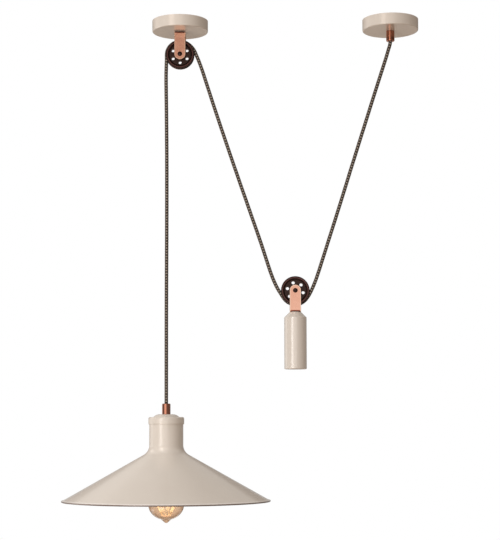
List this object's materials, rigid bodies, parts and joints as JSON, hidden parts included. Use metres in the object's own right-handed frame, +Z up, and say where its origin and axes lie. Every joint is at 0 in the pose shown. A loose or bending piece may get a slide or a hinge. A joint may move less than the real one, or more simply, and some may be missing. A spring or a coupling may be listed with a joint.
{
  "type": "rise and fall pendant",
  "caption": "Pendant lamp on a fabric flex that runs over a ceiling pulley and under the pulley of a counterweight to a second rose, so that the wide shade can be raised and lowered.",
  "frame": {"origin": "centre of the pulley rose's two ceiling screw holes, on the ceiling plane", "axes": "+Z up into the ceiling, +X from the pulley rose to the feed rose, the viewer stands at -Y"},
  "size_m": [0.6375, 0.3698, 0.8992],
  "materials": {
    "rose_paint": "gloss",
    "weight_paint": "gloss",
    "shade_paint": "satin",
    "copper": "satin",
    "wheel_brown": "satin",
    "dark_steel": "satin",
    "steel": "satin",
    "bronze": "satin",
    "brass": "satin",
    "ceramic": "satin",
    "phenolic": "satin",
    "core_sheath": "satin",
    "bulb_metal": "satin",
    "amber_glass": "polished",
    "clear_glass": "polished",
    "filament": "matte",
    "flex_fabric": "matte"
  },
  "bodies": {
    "ceiling": {"pulley_rose_bar": "steel", "pulley_rose_nut": "steel", "pulley_rose_cup": "rose_paint", "bracket_lock_nut": "steel", "bracket_bolt": "steel", "upper_bracket": "copper", "upper_axle": "dark_steel", "upper_axle_nut": "dark_steel", "upper_spacers": "steel", "feed_rose_bar": "steel", "feed_rose_cup": "rose_paint", "feed_rose_screws": "steel", "feed_grip": "copper", "feed_grip_screw": "steel", "feed_nipple": "steel", "feed_nipple_nut": "steel", "terminal_block": "ceramic", "terminal_screws": "brass", "terminal_block_screw": "steel", "earth_screw": "brass", "feed_cores": "core_sheath", "cord_drop": "flex_fabric", "cord_over_wheel": "flex_fabric", "cord_left_leg": "flex_fabric", "cord_right_leg": "flex_fabric"},
    "upper_pulley": {"upper_wheel": "wheel_brown", "upper_bush": "bronze"},
    "counterweight": {"counterweight": "weight_paint", "weight_bolt": "steel", "lower_bracket": "copper", "lower_axle": "dark_steel", "lower_axle_nut": "dark_steel", "lower_spacers": "steel", "cord_under_wheel": "flex_fabric"},
    "lower_pulley": {"lower_wheel": "wheel_brown", "lower_bush": "bronze"},
    "lamp": {"lamp_grip": "copper", "lamp_grip_screw": "steel", "lamp_nipple": "steel", "lamp_nipple_nut": "steel", "shade_cap": "shade_paint", "shade": "shade_paint", "lampholder_cap": "phenolic", "lampholder_core": "ceramic", "lampholder_contacts": "brass", "lampholder_skirt": "phenolic", "lamp_cores": "core_sheath"},
    "bulb": {"bulb_cap": "bulb_metal", "bulb_insulator": "phenolic", "bulb_contact": "bulb_metal", "bulb_glass": "amber_glass", "bulb_stem": "clear_glass", "bulb_supports": "steel", "bulb_filament": "filament"}
  },
  "joints": [
    {"name": "lamp_rise", "type": "slide", "parent": "ceiling", "child": "lamp", "axis": [0, 0, 1], "range_m": [-0.3, 0.27], "deforming": ["cord_drop"]},
    {"name": "weight_travel", "type": "slide", "parent": "ceiling", "child": "counterweight", "axis": [0, 0, 1], "range_m": [-0.15, 0.17], "deforming": ["cord_left_leg", "cord_right_leg"]},
    {"name": "upper_pulley_spin", "type": "hinge", "parent": "ceiling", "child": "upper_pulley", "pos_m": [0, 0, -0.061], "axis": [0, 1, 0], "continuous": true},
    {"name": "lower_pulley_spin", "type": "hinge", "parent": "counterweight", "child": "lower_pulley", "pos_m": [0.2053, 0, -0.4877], "axis": [0, 1, 0], "continuous": true},
    {"name": "bulb_turn", "type": "hinge", "parent": "lamp", "child": "bulb", "pos_m": [-0.0245, 0, -0.77], "axis": [0, 0, 1], "range_deg": [0, 1260]}
  ],
  "couplings": [
    {"joint": "weight_travel", "follows": "lamp_rise", "ratio": -0.53},
    {"joint": "upper_pulley_spin", "follows": "lamp_rise", "rad_per_m": 40.816},
    {"joint": "lower_pulley_spin", "follows": "lamp_rise", "rad_per_m": -21.633}
  ]
}
